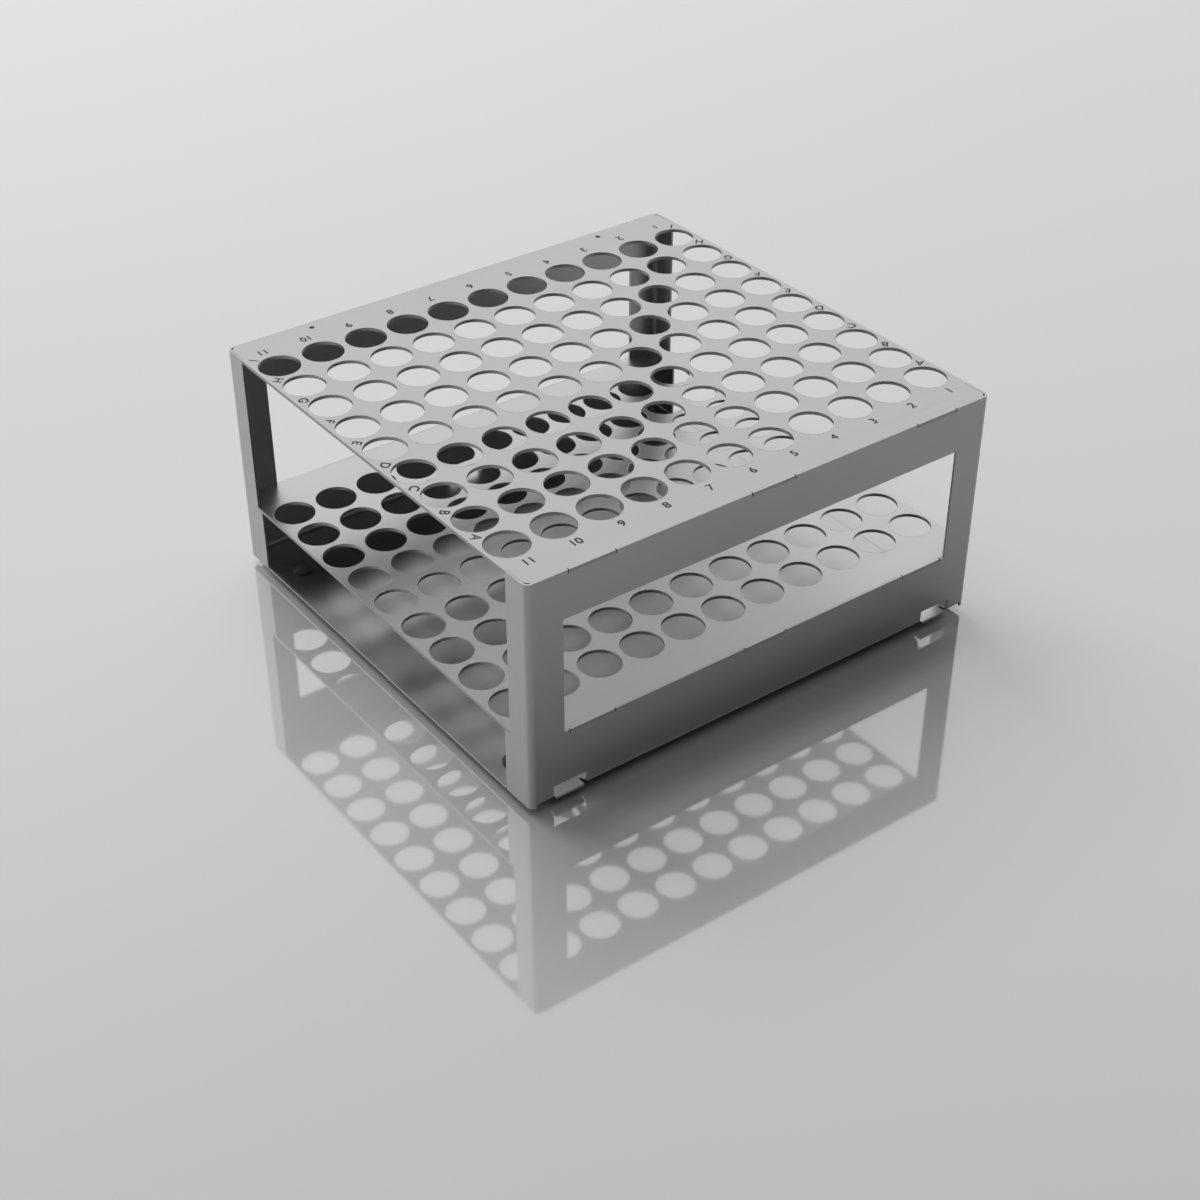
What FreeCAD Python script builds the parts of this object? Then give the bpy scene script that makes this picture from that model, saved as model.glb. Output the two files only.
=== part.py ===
"""Fraction collector rack: a folded sheet frame, two perforated plates and four push-in feet.

Lengths are in millimetres. X runs along the front, Y towards the back and Z up. The origin is on
the table under the middle of the rack.
"""
import FreeCAD, Part
import os
import Sketcher
from FreeCAD import Vector

# Every size that can be set by itself, with what it measures.
SIZES = (
    ("tube_pitch", 22.0, "middle to middle of neighbouring tube holes, both ways"),
    ("tube_columns", 11, "tube holes from left to right"),
    ("tube_rows", 9, "tube holes from front to back"),
    ("tube_hole", 19.0, "diameter of a tube hole, in the top plate and in the shelf"),
    ("end_margin", 11.0, "last column of holes to the outside of the rack's end"),
    ("wall_margin", 28.0, "first row of holes to the outside of the wall"),
    ("sheet", 1.0, "thickness of the folded sheet"),
    ("plate_sheet", 1.5, "thickness of the top plate and of the shelf"),
    ("inner_bend", 2.0, "inside radius of the folds"),
    ("body_height", 109.0, "underside of the folded base to the top of the rack"),
    ("shelf_level", 32.5, "underside of the folded base to the top of the shelf"),
    ("window_band", 22.0, "wall left standing above the window"),
    ("post", 17.0, "wall left standing beside the window"),
    ("return_wide", 17.0, "corner return below the shelf, from the outside of the wall"),
    ("return_narrow", 13.5, "corner return above the shelf, from the outside of the wall"),
    ("return_gap", 0.4, "air between a return and the end of the base notched round it"),
    ("tab_width", 22.0, "length of a plate's tab along the wall"),
    ("tab_spacing", 90.0, "middle tab to an outer tab"),
    ("tab_gap", 0.5, "air at each end of a tab in its notch"),
    ("seam_gap", 0.1, "air between a plate's edge and the sheet beside it"),
    ("slot_length", 16.6, "length of a locating slot along the wall"),
    ("slot_height", 7.1, "top of a locating slot above the folded base's underside"),
    ("slot_inset", 19.5, "end of the rack to the middle of a front slot"),
    ("tongue_root", 4.2, "outside of the wall to the root of the flat tongue under a slot"),
    ("tongue_slit", 1.2, "slit between the tongue and each end of its slot"),
    ("pin_hole", 2.4, "diameter of the two small holes by the back edge of the top plate"),
    ("pin_hole_spacing", 80.5, "middle of the rack to a small hole"),
    ("pin_hole_inset", 5.0, "back of the rack to the middle of a small hole"),
    ("foot_height", 4.0, "table to the underside of the folded base"),
    ("foot_disc", 13.0, "diameter of a foot under the base"),
    ("foot_edge", 0.8, "rounding of a foot's lower edge"),
    ("foot_hole", 6.0, "diameter of the hole that a foot is pushed through"),
    ("foot_hole_gap", 0.1, "air round a foot's neck in its hole"),
    ("foot_head", 9.0, "diameter of a foot's head above the base"),
    ("foot_head_rim", 1.0, "upright rim of a foot's head"),
    ("foot_head_cone", 1.6, "height of the cone above the rim"),
    ("foot_head_tip", 3.6, "diameter of the flat on top of a foot's head"),
    ("foot_inset_end", 11.5, "end of the rack to the middle of a foot"),
    ("foot_inset_wall", 29.0, "outside of the wall to the middle of a foot"),
)

# Places that several pieces share, as formulas on the sheet of sizes.
HALF_WIDTH = "((sizes.tube_columns - 1) * sizes.tube_pitch / 2 + sizes.end_margin)"
HALF_DEPTH = "((sizes.tube_rows - 1) * sizes.tube_pitch / 2 + sizes.wall_margin)"
OUTER_BEND = "(sizes.inner_bend + sizes.sheet)"
BASE_BOTTOM = "sizes.foot_height"
BASE_TOP = "(sizes.foot_height + sizes.sheet)"
RACK_TOP = "(sizes.foot_height + sizes.body_height)"
PLATE_BOTTOM = f"({RACK_TOP} - sizes.plate_sheet)"
SHELF_TOP = "(sizes.foot_height + sizes.shelf_level)"
SHELF_BOTTOM = f"({SHELF_TOP} - sizes.plate_sheet)"
FOLD_X = f"({HALF_WIDTH} - {OUTER_BEND})"
FOLD_Y = f"({HALF_DEPTH} - {OUTER_BEND})"
WALL_INSIDE = f"({HALF_DEPTH} - sizes.sheet)"
PLATE_EDGE = f"({WALL_INSIDE} - sizes.seam_gap)"
TAB_MIDDLES = ("(-sizes.tab_spacing)", "(0)", "sizes.tab_spacing")
HALF_TAB = "(sizes.tab_width / 2)"
HALF_NOTCH = "(sizes.tab_width / 2 + sizes.tab_gap)"
SLOT_X = f"({HALF_WIDTH} - sizes.slot_inset)"
OVERCUT = "1"

doc = FreeCAD.newDocument("fraction_collector_rack")
sheet = doc.addObject("Spreadsheet::Sheet", "sizes")
for line, (alias, value, meaning) in enumerate(SIZES, start=1):
    sheet.set(f"A{line}", meaning)
    sheet.set(f"B{line}", str(value))
    sheet.setAlias(f"B{line}", alias)
doc.recompute()


def number(formula):
    """The value of a formula with the sizes as they are now."""
    return float(sheet.evalExpression(formula))


def negative(formula):
    """The same distance on the other side of the middle."""
    return f"(-({formula}))"


def new_body(name):
    """A sub-part. Its label names its file."""
    body = doc.addObject("PartDesign::Body", name)
    body.Label = name
    return body


def new_sketch(body, name, plane, level=None):
    """A sketch on one of the body's own planes, lifted to a level where one is given."""
    sketch = body.newObject("Sketcher::SketchObject", name)
    support = [feature for feature in body.Origin.OriginFeatures if feature.Role == plane][0]
    sketch.AttachmentSupport = [(support, "")]
    sketch.MapMode = "FlatFace"
    if level is not None:
        sketch.setExpression("AttachmentOffset.Base.z", level)
    return sketch


def hold(sketch, kind, geometry, point, formula):
    """Holds one coordinate of a sketch point to a formula, measured from the sketch's origin."""
    distance = Sketcher.Constraint(kind, -1, 1, geometry, point, number(formula))
    index = sketch.addConstraint(distance)
    sketch.setExpression(f"Constraints[{index}]", formula)


def draw_outline(sketch, stops):
    """Draws a closed outline through its stops.

    A stop is (x, y), and (x, y, centre x, centre y) where an arc leaves it for the next stop.
    """
    points = [Vector(number(stop[0]), number(stop[1]), 0) for stop in stops]
    edges = []
    for i, stop in enumerate(stops):
        start = points[i]
        end = points[(i + 1) % len(stops)]
        if len(stop) == 2:
            index = sketch.addGeometry(Part.LineSegment(start, end), False)
            edges.append((index, 1, 2))
            continue
        centre = Vector(number(stop[2]), number(stop[3]), 0)
        circle = Part.Circle(centre, Vector(0, 0, 1), (start - centre).Length)
        leftwards = (start - centre).cross(end - centre).z > 0
        first, last = (start, end) if leftwards else (end, start)
        arc = Part.ArcOfCircle(circle, circle.parameter(first), circle.parameter(last))
        index = sketch.addGeometry(arc, False)
        edges.append((index, 1, 2) if leftwards else (index, 2, 1))
    for i, (index, start_point, end_point) in enumerate(edges):
        following, following_start, _ = edges[(i + 1) % len(edges)]
        join = Sketcher.Constraint("Coincident", index, end_point, following, following_start)
        sketch.addConstraint(join)
        hold(sketch, "DistanceX", index, start_point, stops[i][0])
        hold(sketch, "DistanceY", index, start_point, stops[i][1])
        if len(stops[i]) == 4:
            hold(sketch, "DistanceX", index, 3, stops[i][2])


def draw_rectangle(sketch, left, right, low, high):
    """A rectangle between two values along the sketch's x and two along its y."""
    draw_outline(sketch, ((left, low), (right, low), (right, high), (left, high)))


def draw_circle(sketch, x, y, diameter):
    """A circle with its centre and its diameter held to formulas."""
    circle = Part.Circle(Vector(number(x), number(y), 0), Vector(0, 0, 1), number(diameter) / 2)
    index = sketch.addGeometry(circle, False)
    hold(sketch, "DistanceX", index, 3, x)
    hold(sketch, "DistanceY", index, 3, y)
    width = sketch.addConstraint(Sketcher.Constraint("Diameter", index, number(diameter)))
    sketch.setExpression(f"Constraints[{width}]", diameter)


def pad(body, name, sketch, length, side="One side"):
    """Adds sheet or solid along the sketch's normal."""
    feature = body.newObject("PartDesign::Pad", name)
    feature.Profile = sketch
    feature.SideType = side
    feature.setExpression("Length", length)
    return feature


def pocket(body, name, sketch, length=None):
    """Cuts along the sketch's normal for a length, or right through both ways with none given."""
    feature = body.newObject("PartDesign::Pocket", name)
    feature.Profile = sketch
    if length is None:
        feature.SideType = "Symmetric"
        feature.Type = "ThroughAll"
    else:
        feature.Reversed = True
        feature.setExpression("Length", length)
    return feature


def cut_tube_holes(body, level):
    """One tube hole in the left front corner, repeated along the columns and the rows."""
    first_x = "(-(sizes.tube_columns - 1) * sizes.tube_pitch / 2)"
    first_y = "(-(sizes.tube_rows - 1) * sizes.tube_pitch / 2)"
    sketch = new_sketch(body, f"{body.Name}_hole_sketch", "XY_Plane", level)
    draw_circle(sketch, first_x, first_y, "sizes.tube_hole")
    hole = pocket(body, f"{body.Name}_hole", sketch)
    doc.recompute()
    pattern = body.newObject("PartDesign::LinearPattern", f"{body.Name}_holes")
    pattern.Originals = [hole]
    pattern.Direction = (sketch, ["H_Axis"])
    pattern.Direction2 = (sketch, ["V_Axis"])
    pattern.Mode = "Extent"
    pattern.Mode2 = "Extent"
    pattern.setExpression("Length", "(sizes.tube_columns - 1) * sizes.tube_pitch")
    pattern.setExpression("Length2", "(sizes.tube_rows - 1) * sizes.tube_pitch")
    pattern.setExpression("Occurrences", "sizes.tube_columns")
    pattern.setExpression("Occurrences2", "sizes.tube_rows")
    body.Tip = pattern


def make_base_frame():
    """The base with its front and back walls and four corner returns, folded from one sheet."""
    body = new_body("base_frame")

    # The base and both walls in one section, folded up at the front and at the back.
    fold_z = f"({BASE_BOTTOM} + {OUTER_BEND})"
    section = new_sketch(body, "section_sketch", "YZ_Plane")
    draw_outline(section, (
        (negative(HALF_DEPTH), RACK_TOP),
        (negative(HALF_DEPTH), fold_z, negative(FOLD_Y), fold_z),
        (negative(FOLD_Y), BASE_BOTTOM),
        (FOLD_Y, BASE_BOTTOM, FOLD_Y, fold_z),
        (HALF_DEPTH, fold_z),
        (HALF_DEPTH, RACK_TOP),
        (WALL_INSIDE, RACK_TOP),
        (WALL_INSIDE, fold_z, FOLD_Y, fold_z),
        (FOLD_Y, BASE_TOP),
        (negative(FOLD_Y), BASE_TOP, negative(FOLD_Y), fold_z),
        (negative(WALL_INSIDE), fold_z),
        (negative(WALL_INSIDE), RACK_TOP),
    ))
    pad(body, "base_and_walls", section, f"2 * {FOLD_X}", "Symmetric")

    # The base runs on to the ends of the rack between the folds, notched round the returns.
    return_edge = f"({HALF_DEPTH} - sizes.return_wide)"
    end_inside = f"({HALF_WIDTH} - sizes.sheet)"
    neck_y = f"({return_edge} - sizes.return_gap)"
    corner_x = f"({end_inside} - sizes.return_gap)"
    ends = new_sketch(body, "base_ends_sketch", "XY_Plane", BASE_BOTTOM)
    draw_rectangle(ends, negative(corner_x), corner_x, negative(FOLD_Y), FOLD_Y)
    pad(body, "base_ends", ends, "sizes.sheet")
    lips = new_sketch(body, "base_lips_sketch", "XY_Plane", BASE_BOTTOM)
    draw_rectangle(lips, negative(HALF_WIDTH), HALF_WIDTH, negative(neck_y), neck_y)
    pad(body, "base_lips", lips, "sizes.sheet")

    # Each wall's two ends are folded back round the corners over its whole height.
    returns = new_sketch(body, "returns_sketch", "XY_Plane", BASE_BOTTOM)
    for side_x in (str, negative):
        for side_y in (str, negative):
            draw_outline(returns, (
                (side_x(FOLD_X), side_y(HALF_DEPTH), side_x(FOLD_X), side_y(FOLD_Y)),
                (side_x(HALF_WIDTH), side_y(FOLD_Y)),
                (side_x(HALF_WIDTH), side_y(return_edge)),
                (side_x(end_inside), side_y(return_edge)),
                (side_x(end_inside), side_y(FOLD_Y), side_x(FOLD_X), side_y(FOLD_Y)),
                (side_x(FOLD_X), side_y(WALL_INSIDE)),
            ))
    pad(body, "returns", returns, "sizes.body_height")

    # The returns are narrower above the shelf, which leaves a ledge under each of its corners.
    entry = new_sketch(body, "shelf_entry_sketch", "YZ_Plane")
    entry_edge = f"({HALF_DEPTH} - sizes.return_narrow)"
    draw_rectangle(entry, negative(entry_edge), entry_edge, SHELF_BOTTOM, f"{RACK_TOP} + {OVERCUT}")
    pocket(body, "shelf_entry", entry)

    # One window in each wall, from the shelf to the band under the top plate.
    window = new_sketch(body, "window_sketch", "XZ_Plane")
    window_side = f"({HALF_WIDTH} - sizes.post)"
    window_top = f"({RACK_TOP} - sizes.window_band)"
    draw_rectangle(window, negative(window_side), window_side, SHELF_TOP, window_top)
    pocket(body, "windows", window)

    # Notches for the tabs of both plates.
    notches = new_sketch(body, "notches_sketch", "XZ_Plane")
    for middle in TAB_MIDDLES:
        left = f"({middle} - {HALF_NOTCH})"
        right = f"({middle} + {HALF_NOTCH})"
        draw_rectangle(notches, left, right, PLATE_BOTTOM, f"{RACK_TOP} + {OVERCUT}")
        draw_rectangle(notches, left, right, SHELF_BOTTOM, f"{SHELF_TOP} + {OVERCUT}")
    pocket(body, "notches", notches)

    # Locating slots through the walls and their folds: two in front, one in the middle at the back.
    slot_places = ((negative(SLOT_X), negative), (SLOT_X, negative), ("(0)", str))
    slots = new_sketch(body, "slots_sketch", "XY_Plane")
    half_slot = "(sizes.slot_length / 2)"
    root = f"({HALF_DEPTH} - sizes.tongue_root)"
    outside = f"({HALF_DEPTH} + {OVERCUT})"
    for middle, side in slot_places:
        draw_rectangle(slots, f"({middle} - {half_slot})", f"({middle} + {half_slot})",
                       side(root), side(outside))
    pocket(body, "slots", slots, f"{BASE_BOTTOM} + sizes.slot_height")

    # Under each slot a tongue of the base stays flat, slit free of the fold, out to the wall's face.
    tongues = new_sketch(body, "tongues_sketch", "XY_Plane", BASE_BOTTOM)
    half_tongue = "(sizes.slot_length / 2 - sizes.tongue_slit)"
    for middle, side in slot_places:
        draw_rectangle(tongues, f"({middle} - {half_tongue})", f"({middle} + {half_tongue})",
                       side(root), side(HALF_DEPTH))
    pad(body, "tongues", tongues, "sizes.sheet")

    # Holes that the feet are pushed through.
    foot_holes = new_sketch(body, "foot_holes_sketch", "XY_Plane")
    for _, x, y in foot_places():
        draw_circle(foot_holes, x, y, "sizes.foot_hole")
    pocket(body, "foot_holes", foot_holes, RACK_TOP)
    return body


def make_plate(name, bottom):
    """A plate with three tabs a side, held in the walls' notches between the corner returns."""
    body = new_body(name)
    beyond_x = f"({HALF_WIDTH} + {OVERCUT})"
    beyond_y = f"({HALF_DEPTH} + {OVERCUT})"
    blank = new_sketch(body, f"{name}_blank_sketch", "XY_Plane", bottom)
    draw_rectangle(blank, negative(HALF_WIDTH), HALF_WIDTH, negative(HALF_DEPTH), HALF_DEPTH)
    pad(body, f"{name}_blank", blank, "sizes.plate_sheet")

    # The long edges are cut back between the tabs.
    gaps = new_sketch(body, f"{name}_gaps_sketch", "XY_Plane", bottom)
    stops = [negative(FOLD_X)]
    for middle in TAB_MIDDLES:
        stops += [f"({middle} - {HALF_TAB})", f"({middle} + {HALF_TAB})"]
    stops.append(FOLD_X)
    for left, right in zip(stops[0::2], stops[1::2]):
        for side in (str, negative):
            draw_rectangle(gaps, left, right, side(PLATE_EDGE), side(beyond_y))
    pocket(body, f"{name}_gaps", gaps)

    # Each corner is cut back round its return and clear of the fold's inside radius.
    corners = new_sketch(body, f"{name}_corners_sketch", "XY_Plane", bottom)
    notch_x = f"({HALF_WIDTH} - sizes.sheet - sizes.seam_gap)"
    notch_y = f"({HALF_DEPTH} - sizes.return_narrow - sizes.seam_gap)"
    for side_x in (str, negative):
        for side_y in (str, negative):
            draw_outline(corners, (
                (side_x(beyond_x), side_y(notch_y)),
                (side_x(notch_x), side_y(notch_y)),
                (side_x(notch_x), side_y(FOLD_Y)),
                (side_x(FOLD_X), side_y(PLATE_EDGE)),
                (side_x(FOLD_X), side_y(beyond_y)),
                (side_x(beyond_x), side_y(beyond_y)),
            ))
    pocket(body, f"{name}_corners", corners)
    return body


def make_top_plate():
    """The perforated top, flush with the top edges of the walls and the returns."""
    body = make_plate("top_plate", PLATE_BOTTOM)
    pins = new_sketch(body, "pin_holes_sketch", "XY_Plane", PLATE_BOTTOM)
    pin_y = f"({HALF_DEPTH} - sizes.pin_hole_inset)"
    for side in (str, negative):
        draw_circle(pins, side("sizes.pin_hole_spacing"), pin_y, "sizes.pin_hole")
    pocket(body, "pin_holes", pins)
    cut_tube_holes(body, PLATE_BOTTOM)
    return body


def make_tube_shelf():
    """The perforated shelf between the windows' lower edges, lying on the returns' ledges."""
    body = make_plate("tube_shelf", SHELF_BOTTOM)
    cut_tube_holes(body, SHELF_BOTTOM)
    return body


def foot_places():
    """Name, x and y of each foot."""
    x = f"({HALF_WIDTH} - sizes.foot_inset_end)"
    y = f"({HALF_DEPTH} - sizes.foot_inset_wall)"
    for name_y, side_y in (("front", negative), ("back", str)):
        for name_x, side_x in (("left", negative), ("right", str)):
            yield f"foot_{name_y}_{name_x}", side_x(x), side_y(y)


def make_foot(name, x, y):
    """A turned rubber foot: disc under the base, neck through its hole, head above it."""
    body = new_body(name)
    body.setExpression("Placement.Base.x", x)
    body.setExpression("Placement.Base.y", y)
    disc = "(sizes.foot_disc / 2)"
    neck = "(sizes.foot_hole / 2 - sizes.foot_hole_gap)"
    head = "(sizes.foot_head / 2)"
    tip = "(sizes.foot_head_tip / 2)"
    edge_x = f"({disc} - sizes.foot_edge)"
    rim_top = f"({BASE_TOP} + sizes.foot_head_rim)"
    head_top = f"({BASE_TOP} + sizes.foot_head_rim + sizes.foot_head_cone)"
    profile = new_sketch(body, f"{name}_sketch", "XZ_Plane")
    draw_outline(profile, (
        ("(0)", "(0)"),
        (edge_x, "(0)", edge_x, "sizes.foot_edge"),
        (disc, "sizes.foot_edge"),
        (disc, BASE_BOTTOM),
        (neck, BASE_BOTTOM),
        (neck, BASE_TOP),
        (head, BASE_TOP),
        (head, rim_top),
        (tip, head_top),
        ("(0)", head_top),
    ))
    turned = body.newObject("PartDesign::Revolution", f"{name}_turned")
    turned.Profile = profile
    turned.ReferenceAxis = (profile, ["V_Axis"])
    turned.Angle = 360
    return body


def check_tube_holes(pattern):
    """Stops the script where a plate doesn't have one round hole for each place in the grid."""
    tube_radius = number("sizes.tube_hole / 2")
    round_faces = [face for face in pattern.Shape.Faces if isinstance(face.Surface, Part.Cylinder)]
    holes = [face for face in round_faces if abs(face.Surface.Radius - tube_radius) < 0.001]
    places = round(number("sizes.tube_columns * sizes.tube_rows"))
    if len(holes) != places:
        raise RuntimeError(f"{pattern.Label} has {len(holes)} holes and not {places}")


def check_document(bodies):
    """Stops the script where a feature failed, a pocket cut nothing or a sub-part isn't one solid."""
    for item in doc.Objects:
        if "Invalid" in item.State or "Error" in item.State:
            raise RuntimeError(f"{item.Label} failed: {item.State}")
        if item.TypeId == "PartDesign::Pocket":
            if item.Shape.Volume >= item.BaseFeature.Shape.Volume - 1e-6:
                raise RuntimeError(f"{item.Label} cut nothing")
        if item.TypeId == "PartDesign::LinearPattern":
            check_tube_holes(item)
    for body in bodies:
        if body.Shape.isNull() or not body.Shape.isValid() or len(body.Shape.Solids) != 1:
            raise RuntimeError(f"{body.Label} isn't one valid solid")


bodies = [make_base_frame(), make_top_plate(), make_tube_shelf()]
bodies += [make_foot(name, x, y) for name, x, y in foot_places()]
doc.recompute()
check_document(bodies)

os.makedirs("parts", exist_ok=True)
for body in bodies:
    body.Shape.exportStep(os.path.join("parts", f"{body.Label}.step"))
    box = body.Shape.BoundBox
    print(f"{body.Label}: {body.Shape.Volume:.1f} mm3, x {box.XMin:.2f} to {box.XMax:.2f},"
          f" y {box.YMin:.2f} to {box.YMax:.2f}, z {box.ZMin:.2f} to {box.ZMax:.2f}")
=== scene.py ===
# %% [markdown]
# # A fraction collector rack in brushed sheet steel
#
# The rack is a folded sheet with two perforated plates, for 99 test tubes. The CAD model gives every
# solid at its real size, and this script gives the looks: the brushed finish, the marks on the top
# plate, the finished edges of the holes, the closed seams, the rubber feet, the floor and the light.
# All lengths here are in metres, in the CAD model's own frame: X along the front, Y to the back, Z up.

# %% The fixed frame
import bpy
import bmesh
import math
from mathutils import Matrix, Vector


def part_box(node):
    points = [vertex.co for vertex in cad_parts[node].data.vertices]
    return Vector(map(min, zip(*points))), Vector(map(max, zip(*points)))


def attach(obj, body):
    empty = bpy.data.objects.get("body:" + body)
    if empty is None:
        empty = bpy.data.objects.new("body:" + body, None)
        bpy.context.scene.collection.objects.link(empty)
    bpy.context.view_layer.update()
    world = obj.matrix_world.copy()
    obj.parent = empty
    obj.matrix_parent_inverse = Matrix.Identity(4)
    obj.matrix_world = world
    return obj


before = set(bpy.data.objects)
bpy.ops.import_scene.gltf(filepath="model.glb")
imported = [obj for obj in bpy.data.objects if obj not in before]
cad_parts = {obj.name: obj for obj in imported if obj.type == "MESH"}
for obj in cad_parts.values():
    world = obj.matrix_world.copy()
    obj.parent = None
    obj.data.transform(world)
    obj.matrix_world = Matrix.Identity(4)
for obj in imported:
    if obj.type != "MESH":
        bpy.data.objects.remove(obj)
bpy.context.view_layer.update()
MM = 0.001

# %% [markdown]
# ## What drives the places
#
# The holes, marks and seams all follow from a few sizes. Some can be read from the frame: the rack's
# half width and half depth, and the levels of both plates. Only the hole grid, the sheet and the tabs
# have to be named.

# %% Driving dimensions
PITCH = 22 * MM
COLUMNS, ROWS = 11, 9
HOLE_RADIUS = 9.5 * MM
SHEET = 1 * MM
SEAM = 0.1 * MM
HALF_TAB = 11 * MM
OUTER_TAB = 90 * MM
CORNER_FOLD = 3 * MM
_, top_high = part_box("top_plate")
_, shelf_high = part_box("tube_shelf")
_, frame_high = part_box("base_frame")
HALF_WIDTH, HALF_DEPTH = frame_high.x, frame_high.y
TOP, SHELF_TOP = top_high.z, shelf_high.z
print("top at", round(TOP / MM, 2), "mm, shelf at", round(SHELF_TOP / MM, 2), "mm")

# %% [markdown]
# ## Node helpers
#
# A material is a small network. These helpers place a node, set its inputs and join it up in one call,
# so that each finish below reads as a list of steps. The last one puts a finished material on a piece of
# the CAD model.


# %% Helpers for node trees
def add_node(tree, kind, settings=None, **inputs):
    """A new node. An input is a value, or another node's socket to be linked from."""
    node = tree.nodes.new(kind)
    for name, value in (settings or {}).items():
        setattr(node, name, value)
    for name, value in inputs.items():
        key = int(name[1:]) if name[0] == "i" and name[1:].isdigit() else name.replace("_", " ")
        if isinstance(value, bpy.types.NodeSocket):
            tree.links.new(value, node.inputs[key])
        else:
            node.inputs[key].default_value = value
    return node


def maths(tree, operation, first, second=0.0, third=0.0, clamp=False):
    """The value of one arithmetic step."""
    settings = {"operation": operation, "use_clamp": clamp}
    return add_node(tree, "ShaderNodeMath", settings, i0=first, i1=second, i2=third).outputs[0]


def band(tree, value, low, high, to_low=0.0, to_high=1.0):
    """A value mapped smoothly from one range to another and held at its ends."""
    settings = {"interpolation_type": "SMOOTHSTEP"}
    node = add_node(tree, "ShaderNodeMapRange", settings, Value=value)
    node.inputs["From Min"].default_value = low
    node.inputs["From Max"].default_value = high
    node.inputs["To Min"].default_value = to_low
    node.inputs["To Max"].default_value = to_high
    return node.outputs["Result"]


def blend_colours(tree, factor, first, second, mode="MIX"):
    """Two colours mixed by a factor."""
    node = add_node(tree, "ShaderNodeMix", {"data_type": "RGBA", "blend_type": mode})
    for index, value in ((0, factor), (6, first), (7, second)):
        if isinstance(value, bpy.types.NodeSocket):
            tree.links.new(value, node.inputs[index])
        else:
            node.inputs[index].default_value = value
    return node.outputs[2]


def grey(level):
    """A neutral colour."""
    return (level, level, level, 1.0)


def new_tree(name, kind, inputs, outputs):
    """A node tree with named sockets, its input node and its output node."""
    tree = bpy.data.node_groups.new(name, kind)
    for in_out, sockets in (("INPUT", inputs), ("OUTPUT", outputs)):
        for socket, holds in sockets.items():
            tree.interface.new_socket(socket, in_out=in_out, socket_type="NodeSocket" + holds)
    return tree, tree.nodes.new("NodeGroupInput"), tree.nodes.new("NodeGroupOutput")


def new_material(name):
    """A material with an empty tree, its shader and its output."""
    material = bpy.data.materials.new(name)
    material.use_nodes = True
    tree = material.node_tree
    tree.nodes.clear()
    shader = tree.nodes.new("ShaderNodeBsdfPrincipled")
    output = tree.nodes.new("ShaderNodeOutputMaterial")
    tree.links.new(shader.outputs["BSDF"], output.inputs["Surface"])
    return material, tree, shader


def coat(node_name, material):
    """One material on all the faces of a CAD piece."""
    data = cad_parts[node_name].data
    data.materials.clear()
    data.materials.append(material)


# %% [markdown]
# ## Brushed sheet
#
# A belt leaves thousands of fine parallel scratches in stainless sheet. Here they run along X, and they
# follow the sheet round its corners, so on the returns they run along Y. A picture could be laid on the
# faces, but a noise that is stretched many times along the brushing gives the same look at any size and
# needs no picture. Three layers are used: hair-fine scratches, broader bands and a slow cloudiness.
# They are built once as a group, because three sheet pieces use them with values of their own.


# %% The group for the brushing
def stretched_noise(tree, place, frequency, detail, rough):
    """A noise whose scale differs in each direction."""
    scaled = add_node(tree, "ShaderNodeVectorMath", {"operation": "MULTIPLY"}, i0=place)
    scaled.inputs[1].default_value = frequency
    noise = add_node(tree, "ShaderNodeTexNoise", {"noise_dimensions": "3D"}, Vector=scaled.outputs[0],
                     Scale=1.0, Detail=detail, Roughness=rough)
    return noise.outputs["Fac"]


def brushed_noise(tree, place, end_face, along, across, detail, rough):
    """A noise drawn out along X, and along Y on faces that look to the ends."""
    along_x = stretched_noise(tree, place, (along, across, across), detail, rough)
    along_y = stretched_noise(tree, place, (across, along, across), detail, rough)
    chosen = add_node(tree, "ShaderNodeMix", {"data_type": "FLOAT"}, i0=end_face, i2=along_x,
                      i3=along_y)
    return chosen.outputs[0]


def make_brushing_group():
    inputs = {"Place": "Vector", "Facing": "Vector", "Fine": "Float", "Bands": "Float",
              "Clouds": "Float"}
    outputs = {"Tone": "Float", "Height": "Float", "Roughness change": "Float"}
    tree, group_in, group_out = new_tree("sheet_brushing", "ShaderNodeTree", inputs, outputs)
    place = group_in.outputs["Place"]

    # The larger the frequency, the narrower the noise is that way.
    facing = add_node(tree, "ShaderNodeSeparateXYZ", i0=group_in.outputs["Facing"])
    end_face = band(tree, maths(tree, "ABSOLUTE", facing.outputs["X"]), 0.6, 0.8)
    fine = brushed_noise(tree, place, end_face, along=35.0, across=4200.0, detail=3.0, rough=0.6)
    bands = brushed_noise(tree, place, end_face, along=9.0, across=420.0, detail=4.0, rough=0.65)
    clouds = stretched_noise(tree, place, (14.0, 22.0, 22.0), detail=2.0, rough=0.5)

    # Each layer is centred on nothing and weighed, so that the sum stays about one.
    total = 1.0
    for layer, weight in ((fine, "Fine"), (bands, "Bands"), (clouds, "Clouds")):
        centred = maths(tree, "SUBTRACT", layer, 0.5)
        weighed = maths(tree, "MULTIPLY", centred, group_in.outputs[weight])
        total = maths(tree, "ADD", total, weighed)
    tree.links.new(total, group_out.inputs["Tone"])
    tree.links.new(fine, group_out.inputs["Height"])
    change = maths(tree, "SUBTRACT", bands, 0.5)
    tree.links.new(change, group_out.inputs["Roughness change"])
    return tree


brushing = make_brushing_group()
print("brushing group has", len(brushing.nodes), "nodes")
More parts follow.
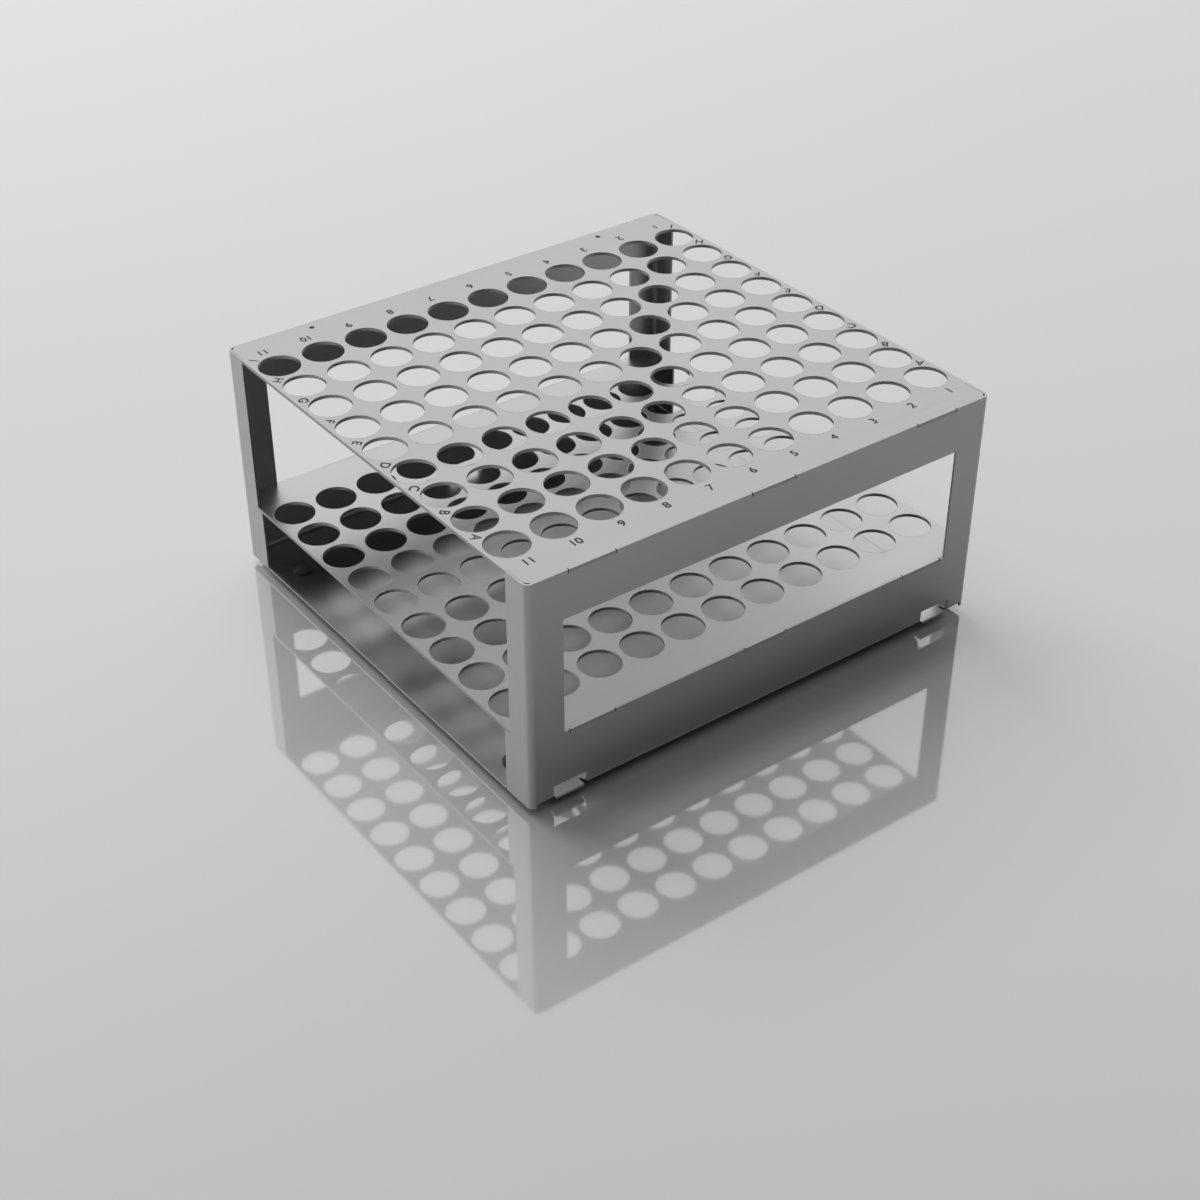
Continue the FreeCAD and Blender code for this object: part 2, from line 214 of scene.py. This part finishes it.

# %% [markdown]
# ## Cut edges
#
# The belt never reaches the sheet's cut edges: the walls of the holes and the sides of the windows are
# a little rougher. Their colour holds painted shade: edges that don't look up are painted darker, for
# the shade that falls in the holes and windows, and edges that look up keep the top plate's tone. A
# second material could be laid on those faces, but the CAD mesh isn't changed here, so the material
# finds them by where they are and by which way they face.


# %% The group for the cut edges
def make_edge_group():
    inputs = {"Place": "Vector", "Facing": "Vector", "Wall inside": "Float", "End inside": "Float",
              "Plate": "Float"}
    outputs = {"Edge": "Float", "Upward": "Float"}
    tree, group_in, group_out = new_tree("cut_edges", "ShaderNodeTree", inputs, outputs)
    place = add_node(tree, "ShaderNodeSeparateXYZ", i0=group_in.outputs["Place"])
    facing = add_node(tree, "ShaderNodeSeparateXYZ", i0=group_in.outputs["Facing"])
    across = {}
    for axis in "XYZ":
        size = maths(tree, "ABSOLUTE", facing.outputs[axis])
        across[axis] = maths(tree, "LESS_THAN", size, 0.3)

    # In a wall, a face that doesn't look to the front or back is an edge. The returns are alike.
    distance_y = maths(tree, "ABSOLUTE", place.outputs["Y"])
    in_wall = maths(tree, "GREATER_THAN", distance_y, group_in.outputs["Wall inside"])
    wall_edge = maths(tree, "MULTIPLY", in_wall, across["Y"])
    distance_x = maths(tree, "ABSOLUTE", place.outputs["X"])
    in_end = maths(tree, "GREATER_THAN", distance_x, group_in.outputs["End inside"])
    end_edge = maths(tree, "MULTIPLY", in_end, across["X"])
    frame_edge = maths(tree, "MAXIMUM", wall_edge, end_edge)

    # In a flat plate, every face that doesn't look up or down is an edge.
    plate_edge = maths(tree, "MULTIPLY", across["Z"], group_in.outputs["Plate"])
    not_plate = maths(tree, "SUBTRACT", 1.0, group_in.outputs["Plate"])
    frame_edge = maths(tree, "MULTIPLY", frame_edge, not_plate)
    edge = maths(tree, "MAXIMUM", frame_edge, plate_edge)
    tree.links.new(edge, group_out.inputs["Edge"])
    tree.links.new(band(tree, facing.outputs["Z"], 0.5, 0.9), group_out.inputs["Upward"])
    return tree


cut_edges = make_edge_group()
print("cut edge group has", len(cut_edges.nodes), "nodes")

# %% [markdown]
# ## The steel
#
# Brushed steel is a metal with a grey colour, a middling roughness and a gloss that is drawn out across
# the scratches. The tangent says which way the scratches run: along X on the flat and on the walls, and
# along Y on the returns. The stretch of the gloss is the same everywhere, so it is set on the shader.
# The folded sheet is brushed more lightly than the plates, so each steel has its own share of the grain.


# %% A brushed steel for each sheet piece
TOP_LEVEL = 0.50
FINE_WEIGHT, BAND_WEIGHT, CLOUD_WEIGHT = 0.08, 0.08, 0.06
ROUGHNESS_SWING = 0.16
SCRATCH_STRENGTH, SCRATCH_DEPTH = 0.07, 0.03 * MM
GLOSS_STRETCH = 0.45
EDGE_ROUGHER = 0.10
# The inner face of a wall lies a full sheet in, so this is short of it.
JUST_IN_SHEET = 0.98 * SHEET


def make_steel(name, level, roughness, plate, cut_shade_level, grain_share=1.0):
    """Steel of a grey level. Plate is one for a flat plate and nothing for the folded frame."""
    material, tree, shader = new_material(name)
    place = add_node(tree, "ShaderNodeTexCoord").outputs["Object"]
    facing = add_node(tree, "ShaderNodeNewGeometry").outputs["Normal"]
    grain = add_node(tree, "ShaderNodeGroup", {"node_tree": brushing}, Place=place, Facing=facing,
                     Fine=FINE_WEIGHT * grain_share, Bands=BAND_WEIGHT * grain_share,
                     Clouds=CLOUD_WEIGHT)
    edges = add_node(tree, "ShaderNodeGroup", {"node_tree": cut_edges}, Place=place, Facing=facing,
                     Plate=plate)
    edges.inputs["Wall inside"].default_value = HALF_DEPTH - JUST_IN_SHEET
    edges.inputs["End inside"].default_value = HALF_WIDTH - JUST_IN_SHEET
    edge = edges.outputs["Edge"]

    sheet_colour = blend_colours(tree, 1.0, grey(level), grain.outputs["Tone"], "MULTIPLY")
    # Painted shade: cut edges that don't look up get the darker cut grey, and upward ones keep the top
    # plate's tone.
    cut_shade_colour = blend_colours(tree, edges.outputs["Upward"], grey(cut_shade_level), grey(TOP_LEVEL))
    colour = blend_colours(tree, edge, sheet_colour, cut_shade_colour)
    tree.links.new(colour, shader.inputs["Base Color"])
    change = grain.outputs["Roughness change"]
    varied = maths(tree, "MULTIPLY_ADD", change, ROUGHNESS_SWING * grain_share, roughness)
    rougher = maths(tree, "MULTIPLY", edge, EDGE_ROUGHER)
    tree.links.new(maths(tree, "ADD", varied, rougher, clamp=True), shader.inputs["Roughness"])
    shader.inputs["Metallic"].default_value = 1.0
    shader.inputs["Anisotropic"].default_value = GLOSS_STRETCH

    # The scratches run level: square to the upright and to the way the face looks. A face that looks
    # straight up has no such direction, so a little of X is added, and it gets X.
    level_way = add_node(tree, "ShaderNodeVectorMath", {"operation": "CROSS_PRODUCT"}, i1=facing)
    level_way.inputs[0].default_value = (0.0, 0.0, 1.0)
    along = add_node(tree, "ShaderNodeVectorMath", {"operation": "ADD"}, i0=level_way.outputs[0])
    along.inputs[1].default_value = (0.01, 0.0, 0.0)
    tree.links.new(along.outputs[0], shader.inputs["Tangent"])

    bump = add_node(tree, "ShaderNodeBump", Strength=SCRATCH_STRENGTH * grain_share,
                    Distance=SCRATCH_DEPTH, Height=grain.outputs["Height"])
    tree.links.new(bump.outputs["Normal"], shader.inputs["Normal"])
    return material


# The cut levels are painted shade: darker greys on the cut edges that don't look up.
steels = {
    "base_frame": make_steel("folded_sheet_steel", level=0.51, roughness=0.30, plate=0.0,
                             cut_shade_level=0.38, grain_share=0.55),
    "top_plate": make_steel("top_plate_steel", level=TOP_LEVEL, roughness=0.36, plate=1.0,
                            cut_shade_level=0.44),
    "tube_shelf": make_steel("shelf_steel", level=0.55, roughness=0.33, plate=1.0, cut_shade_level=0.46),
}
for node_name, material in steels.items():
    coat(node_name, material)
print("steel on", ", ".join(steels))

# %% [markdown]
# ## Rubber feet
#
# The feet are soft rubber buttons, pushed up through the base. Moulded rubber is nearly black and rough;
# the upward faces are painted a lighter grey in patches, a painted highlight.


# %% Rubber
PAINTED_HIGHLIGHT_SHARE = 0.35


def make_rubber():
    material, tree, shader = new_material("foot_rubber")
    place = add_node(tree, "ShaderNodeTexCoord").outputs["Object"]
    facing = add_node(tree, "ShaderNodeNewGeometry").outputs["Normal"]
    grain = stretched_noise(tree, place, (2600.0, 2600.0, 2600.0), 3.0, 0.55)
    patches = stretched_noise(tree, place, (260.0, 260.0, 260.0), 3.0, 0.6)
    upward = add_node(tree, "ShaderNodeSeparateXYZ", i0=facing).outputs["Z"]
    # A painted highlight: the upward faces are painted lighter, in patches.
    painted_highlight = maths(tree, "MULTIPLY", band(tree, upward, 0.2, 1.0), band(tree, patches, 0.35, 0.7))
    colour = blend_colours(tree, maths(tree, "MULTIPLY", painted_highlight, PAINTED_HIGHLIGHT_SHARE), grey(0.028), grey(0.16))
    tree.links.new(colour, shader.inputs["Base Color"])
    tree.links.new(band(tree, patches, 0.2, 0.8, 0.62, 0.82), shader.inputs["Roughness"])
    bump = add_node(tree, "ShaderNodeBump", Strength=0.25, Distance=0.1 * MM, Height=grain)
    tree.links.new(bump.outputs["Normal"], shader.inputs["Normal"])
    return material


rubber = make_rubber()
feet = [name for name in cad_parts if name.startswith("foot_")]
for node_name in feet:
    coat(node_name, rubber)
print("rubber on", len(feet), "feet")

# %% [markdown]
# ## Marks on the top plate
#
# Every tube has an address: the columns are numbered along the front and back margins, and the rows are
# lettered at both ends, where the letters stand askew. The real marks are burnt in by a laser, so they
# are dark, flat and slightly uneven, with no thickness to speak of. Text objects would do, but here a
# Geometry Nodes tree writes one character, fills it, widens its outline by the width of the beam and
# gives it a hair of thickness, and each mark is one run of that tree.


# %% A tree that writes one mark
MARK_SIZE = 5.8 * MM
MARK_SKIN = 0.02 * MM
MARK_WEIGHT = 0.2 * MM
SECTION_CORNERS = 8


def make_mark_tree(material):
    inputs = {"Geometry": "Geometry", "Words": "String", "Size": "Float", "Skin": "Float",
              "Weight": "Float", "Middle": "Vector", "Turn": "Float"}
    outputs = {"Geometry": "Geometry"}
    tree, group_in, group_out = new_tree("laser_mark", "GeometryNodeTree", inputs, outputs)
    text = add_node(tree, "GeometryNodeStringToCurves", {"align_x": "CENTER", "align_y": "MIDDLE"},
                    String=group_in.outputs["Words"], Size=group_in.outputs["Size"])
    real = add_node(tree, "GeometryNodeRealizeInstances", Geometry=text.outputs["Curve Instances"])
    finer = add_node(tree, "GeometryNodeResampleCurve", {"mode": "EVALUATED"},
                     Curve=real.outputs["Geometry"])
    filled = add_node(tree, "GeometryNodeFillCurve", {"mode": "NGONS"}, Curve=finer.outputs["Curve"])
    upward = add_node(tree, "ShaderNodeCombineXYZ", Z=group_in.outputs["Skin"])
    thick = add_node(tree, "GeometryNodeExtrudeMesh", {"mode": "FACES"}, Mesh=filled.outputs["Mesh"],
                     Offset=upward.outputs["Vector"], Offset_Scale=1.0, Individual=False)

    # The beam's own width: a round section is swept along the outline and pressed flat.
    beam = add_node(tree, "GeometryNodeCurvePrimitiveCircle", {"mode": "RADIUS"},
                    Resolution=SECTION_CORNERS, Radius=group_in.outputs["Weight"])
    swept = add_node(tree, "GeometryNodeCurveToMesh", Curve=finer.outputs["Curve"],
                     Profile_Curve=beam.outputs["Curve"])
    flatness = add_node(tree, "ShaderNodeCombineXYZ", X=1.0, Y=1.0, Z=MARK_SKIN / MARK_WEIGHT)
    pressed = add_node(tree, "GeometryNodeTransform", Geometry=swept.outputs["Mesh"],
                       Scale=flatness.outputs["Vector"])
    whole = tree.nodes.new("GeometryNodeJoinGeometry")
    for part in (thick.outputs["Mesh"], pressed.outputs["Geometry"]):
        tree.links.new(part, whole.inputs["Geometry"])
    turn = add_node(tree, "ShaderNodeCombineXYZ", Z=group_in.outputs["Turn"])
    placed = add_node(tree, "GeometryNodeTransform", Geometry=whole.outputs["Geometry"],
                      Translation=group_in.outputs["Middle"], Rotation=turn.outputs["Vector"])
    coated = add_node(tree, "GeometryNodeSetMaterial", Geometry=placed.outputs["Geometry"],
                      Material=material)
    tree.links.new(coated.outputs["Geometry"], group_out.inputs["Geometry"])
    return tree


def make_mark_ink():
    material, tree, shader = new_material("laser_marking")
    place = add_node(tree, "ShaderNodeTexCoord").outputs["Object"]
    grain = stretched_noise(tree, place, (900.0, 5200.0, 5200.0), 3.0, 0.6)
    colour = blend_colours(tree, band(tree, grain, 0.3, 0.75), grey(0.035), grey(0.11))
    tree.links.new(colour, shader.inputs["Base Color"])
    tree.links.new(band(tree, grain, 0.2, 0.8, 0.5, 0.75), shader.inputs["Roughness"])
    shader.inputs["Metallic"].default_value = 0.35
    bump = add_node(tree, "ShaderNodeBump", Strength=0.2, Distance=0.02 * MM, Height=grain)
    tree.links.new(bump.outputs["Normal"], shader.inputs["Normal"])
    return material


# %% Running a tree and keeping its mesh
def run_tree(name, tree, values):
    """The mesh that a tree makes from these values of its named inputs."""
    start = bpy.data.objects.new(name + "_start", bpy.data.meshes.new(name + "_start"))
    bpy.context.scene.collection.objects.link(start)
    modifier = start.modifiers.new(name, "NODES")
    modifier.node_group = tree
    for item in tree.interface.items_tree:
        if item.in_out == "INPUT" and item.name in values:
            modifier[item.identifier] = values[item.name]
    start.update_tag()
    graph = bpy.context.evaluated_depsgraph_get()
    mesh = bpy.data.meshes.new_from_object(start.evaluated_get(graph))
    bpy.data.objects.remove(start)
    return mesh


def join_meshes(meshes, material):
    """One mesh from several, with one material."""
    joined = bmesh.new()
    for mesh in meshes:
        joined.from_mesh(mesh)
        bpy.data.meshes.remove(mesh)
    result = bpy.data.meshes.new("joined")
    joined.normal_update()
    joined.to_mesh(result)
    joined.free()
    result.materials.clear()
    result.materials.append(material)
    return result


def add_piece(name, mesh):
    """A finished piece at the origin that rides with the rack."""
    mesh.name = name
    piece = bpy.data.objects.new(name, mesh)
    bpy.context.scene.collection.objects.link(piece)
    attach(piece, "root")
    return piece


# %% Numbers along the margins and letters at the ends
FRONT_MARGIN = -4.665 * PITCH
BACK_MARGIN = 4.70 * PITCH
END_MARGIN = 5.32 * PITCH
BETWEEN_ROWS = 0.5 * PITCH
LETTER_TURN = math.radians(43)
ROW_LETTERS = "ABCDEFGHI"


def mark_places():
    """Words, x, y and turn of each mark on the top plate."""
    for column in range(1, COLUMNS + 1):
        x = ((COLUMNS + 1) / 2 - column) * PITCH
        yield str(column), x, FRONT_MARGIN, 0.0
        yield str(column), x, BACK_MARGIN, math.pi
    for row in range(ROWS):
        y = (row - (ROWS - 1) / 2) * PITCH + BETWEEN_ROWS
        for side in (-1, 1):
            yield ROW_LETTERS[row], side * END_MARGIN, y, math.pi - side * LETTER_TURN


ink = make_mark_ink()
mark_tree = make_mark_tree(ink)
mark_meshes = []
for words, x, y, turn in mark_places():
    values = {"Words": words, "Size": MARK_SIZE, "Skin": MARK_SKIN, "Weight": MARK_WEIGHT,
              "Middle": (x, y, TOP), "Turn": turn}
    mark_meshes.append(run_tree("mark", mark_tree, values))
marks = add_piece("address_marks", join_meshes(mark_meshes, ink))
print("marks:", len(mark_meshes), "with", len(marks.data.polygons), "faces")

# %% [markdown]
# ## Finished rims of the holes
#
# Punching leaves a low rounded lip round each hole, which is smoothed so that it doesn't scratch the
# tubes. The lips repeat 99 times on each plate, so a Geometry Nodes tree makes one small ring and puts
# it on a grid of points. The ring is sunk into the plate, and only its crown stands out.


# %% A tree that puts a ring on every place of the grid
RIM_SEGMENTS = 56
RIM_LAND = 0.22 * MM
RIM_RADIUS = HOLE_RADIUS + 0.8 * RIM_LAND
RIM_STANDS = 0.05 * MM


def make_rim_tree(material):
    inputs = {"Geometry": "Geometry", "Columns": "Int", "Rows": "Int", "Pitch": "Float",
              "Radius": "Float", "Land": "Float", "Level": "Float"}
    outputs = {"Geometry": "Geometry"}
    tree, group_in, group_out = new_tree("hole_rims", "GeometryNodeTree", inputs, outputs)

    # The grid of places.
    pitch = group_in.outputs["Pitch"]
    width = maths(tree, "MULTIPLY", maths(tree, "SUBTRACT", group_in.outputs["Columns"], 1.0), pitch)
    depth = maths(tree, "MULTIPLY", maths(tree, "SUBTRACT", group_in.outputs["Rows"], 1.0), pitch)
    grid = add_node(tree, "GeometryNodeMeshGrid", Size_X=width, Size_Y=depth,
                    Vertices_X=group_in.outputs["Columns"], Vertices_Y=group_in.outputs["Rows"])

    # One rim: a small round section swept round a circle.
    circle = add_node(tree, "GeometryNodeCurvePrimitiveCircle", {"mode": "RADIUS"},
                      Resolution=RIM_SEGMENTS, Radius=group_in.outputs["Radius"])
    section = add_node(tree, "GeometryNodeCurvePrimitiveCircle", {"mode": "RADIUS"},
                       Resolution=SECTION_CORNERS, Radius=group_in.outputs["Land"])
    ring = add_node(tree, "GeometryNodeCurveToMesh", Curve=circle.outputs["Curve"],
                    Profile_Curve=section.outputs["Curve"])
    smooth = add_node(tree, "GeometryNodeSetShadeSmooth", Geometry=ring.outputs["Mesh"])
    spread = add_node(tree, "GeometryNodeInstanceOnPoints", Points=grid.outputs["Mesh"],
                      Instance=smooth.outputs["Geometry"])
    lift = add_node(tree, "ShaderNodeCombineXYZ", Z=group_in.outputs["Level"])
    raised = add_node(tree, "GeometryNodeTransform", Geometry=spread.outputs["Instances"],
                      Translation=lift.outputs["Vector"])
    real = add_node(tree, "GeometryNodeRealizeInstances", Geometry=raised.outputs["Geometry"])
    coated = add_node(tree, "GeometryNodeSetMaterial", Geometry=real.outputs["Geometry"],
                      Material=material)
    tree.links.new(coated.outputs["Geometry"], group_out.inputs["Geometry"])
    return tree


def make_rim_steel():
    material, tree, shader = new_material("hole_rim_steel")
    place = add_node(tree, "ShaderNodeTexCoord").outputs["Object"]
    worn = stretched_noise(tree, place, (700.0, 700.0, 700.0), 2.0, 0.5)
    colour = blend_colours(tree, worn, grey(0.42), grey(0.60))
    tree.links.new(colour, shader.inputs["Base Color"])
    tree.links.new(band(tree, worn, 0.2, 0.8, 0.24, 0.40), shader.inputs["Roughness"])
    shader.inputs["Metallic"].default_value = 1.0
    return material


rim_steel = make_rim_steel()
rim_tree = make_rim_tree(rim_steel)
for plate, level in (("top_plate", TOP), ("tube_shelf", SHELF_TOP)):
    values = {"Columns": COLUMNS, "Rows": ROWS, "Pitch": PITCH, "Radius": RIM_RADIUS,
              "Land": RIM_LAND, "Level": level + RIM_STANDS - RIM_LAND}
    mesh = join_meshes([run_tree("rims", rim_tree, values)], rim_steel)
    rims = add_piece(plate + "_rims", mesh)
    print(rims.name, "has", len(rims.data.polygons), "faces")

# %% [markdown]
# ## Closed seams
#
# The plates touch the walls along their long edges. The CAD model keeps them a tenth of a millimetre
# apart there, so thin strips of the same steel close the seams from the middle tab to the outer tabs
# and on to the corners. The small square openings at the tabs' ends stay open, as on the real rack.


# %% Strips that close the seams
def make_seam_strips(level):
    """Boxes that fill the seam between a plate and both walls, from one tab to the next."""
    strips = bmesh.new()
    spans = [(HALF_TAB, OUTER_TAB - HALF_TAB), (OUTER_TAB + HALF_TAB, HALF_WIDTH - CORNER_FOLD)]
    spans += [(-high, -low) for low, high in spans]
    for low, high in spans:
        for side in (-1, 1):
            seam_y = side * (HALF_DEPTH - SHEET - SEAM / 2)
            middle = Vector(((low + high) / 2, seam_y, level - SHEET / 2))
            size = (high - low, SEAM, SHEET, 1.0)
            place = Matrix.Translation(middle) @ Matrix.Diagonal(size)
            bmesh.ops.create_cube(strips, size=1.0, matrix=place)
    mesh = bpy.data.meshes.new("seam_strips")
    strips.to_mesh(mesh)
    strips.free()
    return mesh


for plate, level in (("top_plate", TOP), ("tube_shelf", SHELF_TOP)):
    mesh = make_seam_strips(level)
    mesh.materials.append(steels[plate])
    strips = add_piece(plate + "_seams", mesh)
    print(strips.name, "has", len(strips.data.polygons) // 6, "strips")

# %% [markdown]
# ## Floor
#
# The rack stands on a pale polished board. Its mirror image is strongest beside the rack and weakens
# over two hands' widths. The board's own colour is nearly the same everywhere, and only the share that
# mirrors falls with the distance from the rack's outline.


# %% The floor
MIRROR_NEAR, MIRROR_FAR = 0.32, 0.22
MIRROR_REACH = 0.20
FLOOR_REACH = 6.0
FLOOR_ROUGHNESS, FLOOR_GLOSS = 0.05, 0.4


def distance_from_rack(tree, place):
    """How far a place on the floor lies outside the rack's outline."""
    parts = add_node(tree, "ShaderNodeSeparateXYZ", i0=place)
    beyond = []
    for axis, half in (("X", HALF_WIDTH), ("Y", HALF_DEPTH)):
        size = maths(tree, "ABSOLUTE", parts.outputs[axis])
        past = maths(tree, "SUBTRACT", size, half)
        past = maths(tree, "MAXIMUM", past, 0.0)
        beyond.append(maths(tree, "MULTIPLY", past, past))
    return maths(tree, "SQRT", maths(tree, "ADD", *beyond))


def make_floor():
    material, tree, shader = new_material("pale_polished_board")
    place = add_node(tree, "ShaderNodeTexCoord").outputs["Object"]
    clouds = stretched_noise(tree, place, (1.2, 1.2, 1.2), 2.0, 0.5)
    colour = blend_colours(tree, clouds, grey(0.63), grey(0.66))
    tree.links.new(colour, shader.inputs["Base Color"])
    distance = distance_from_rack(tree, place)
    share = band(tree, distance, 0.0, MIRROR_REACH, MIRROR_NEAR, MIRROR_FAR)
    tree.links.new(share, shader.inputs["Metallic"])
    shader.inputs["Roughness"].default_value = FLOOR_ROUGHNESS
    shader.inputs["Specular IOR Level"].default_value = FLOOR_GLOSS
    mesh = bpy.data.meshes.new("floor")
    corners = [(x * FLOOR_REACH, y * FLOOR_REACH, 0) for x, y in ((-1, -1), (1, -1), (1, 1), (-1, 1))]
    mesh.from_pydata(corners, [], [(0, 1, 2, 3)])
    mesh.materials.append(material)
    floor = bpy.data.objects.new("floor", mesh)
    bpy.context.scene.collection.objects.link(floor)
    return floor


floor = make_floor()
print("floor is", round(floor.dimensions.x, 1), "m wide")

# %% [markdown]
# ## Light
#
# The studio is one big soft surround. It is bright behind the rack, which is what the top plate and the
# glossy floor show to the camera. It is dimmer overhead and near the horizon, and almost dark in front.
# One large softbox behind the rack gives the shapes their direction and lays a soft shadow in front of
# the front wall, which darkens the lower part of that wall, because the wall mirrors the floor.


# %% The surround and the softbox
FRONT_LEVEL, BACK_LEVEL = 0.03, 1.08
HORIZON_SHARE = 0.45
OVERHEAD_LEVEL = 0.45
SOFTBOX_PLACE, SOFTBOX_AIM = (-0.10, 1.40, 1.90), (0, 0, 0.05)
SOFTBOX_SIZE, SOFTBOX_WATTS = (1.6, 1.4), 29.0


def make_surround():
    world = bpy.data.worlds.new("soft_surround")
    bpy.context.scene.world = world
    world.use_nodes = True
    tree = world.node_tree
    tree.nodes.clear()
    way = add_node(tree, "ShaderNodeTexCoord").outputs["Generated"]
    parts = add_node(tree, "ShaderNodeSeparateXYZ", i0=way)
    around = band(tree, parts.outputs["Y"], -0.50, 0.55, FRONT_LEVEL, BACK_LEVEL)
    horizon = band(tree, parts.outputs["Z"], 0.0, 0.30, HORIZON_SHARE, 1.0)
    around = maths(tree, "MULTIPLY", around, horizon)
    overhead = band(tree, parts.outputs["Z"], 0.55, 1.0)
    level = add_node(tree, "ShaderNodeMix", {"data_type": "FLOAT"}, i0=overhead, i2=around,
                     i3=OVERHEAD_LEVEL)
    background = add_node(tree, "ShaderNodeBackground", Strength=1.0, Color=level.outputs[0])
    output = tree.nodes.new("ShaderNodeOutputWorld")
    tree.links.new(background.outputs[0], output.inputs["Surface"])


def add_softbox(name, place, aim, size, watts):
    """A large lamp that isn't seen in the steel or in the floor."""
    lamp = bpy.data.lights.new(name, "AREA")
    lamp.shape = "RECTANGLE"
    lamp.size, lamp.size_y = size
    lamp.energy = watts
    holder = bpy.data.objects.new(name, lamp)
    bpy.context.scene.collection.objects.link(holder)
    holder.location = place
    holder.rotation_euler = (Vector(aim) - Vector(place)).to_track_quat("-Z", "Y").to_euler()
    holder.visible_glossy = False


make_surround()
add_softbox("back_softbox", SOFTBOX_PLACE, SOFTBOX_AIM, SOFTBOX_SIZE, SOFTBOX_WATTS)

# %% [markdown]
# ## Camera
#
# The camera looks down on the front left corner. Its place and its long lens were worked out from the
# grid of holes, whose real spacing is known.


# %% The camera
CAMERA_PLACE = (-0.4652, -0.6262, 0.5393)
CAMERA_RIGHT = (0.8031, -0.5959, 0.0)
CAMERA_UP = (0.3426, 0.4617, 0.8183)
LENS, SENSOR = 60.8, 36.0


def add_camera():
    data = bpy.data.cameras.new("camera")
    data.sensor_width = SENSOR
    data.lens = LENS
    camera = bpy.data.objects.new("camera", data)
    bpy.context.scene.collection.objects.link(camera)
    right, up = Vector(CAMERA_RIGHT).normalized(), Vector(CAMERA_UP).normalized()
    turned = Matrix((right, up, right.cross(up))).transposed().to_4x4()
    camera.matrix_world = Matrix.Translation(CAMERA_PLACE) @ turned
    bpy.context.scene.camera = camera
    return camera


camera = add_camera()
bpy.context.scene.view_settings.view_transform = "Standard"
print("camera at", [round(v, 3) for v in camera.location], "with a", LENS, "mm lens")
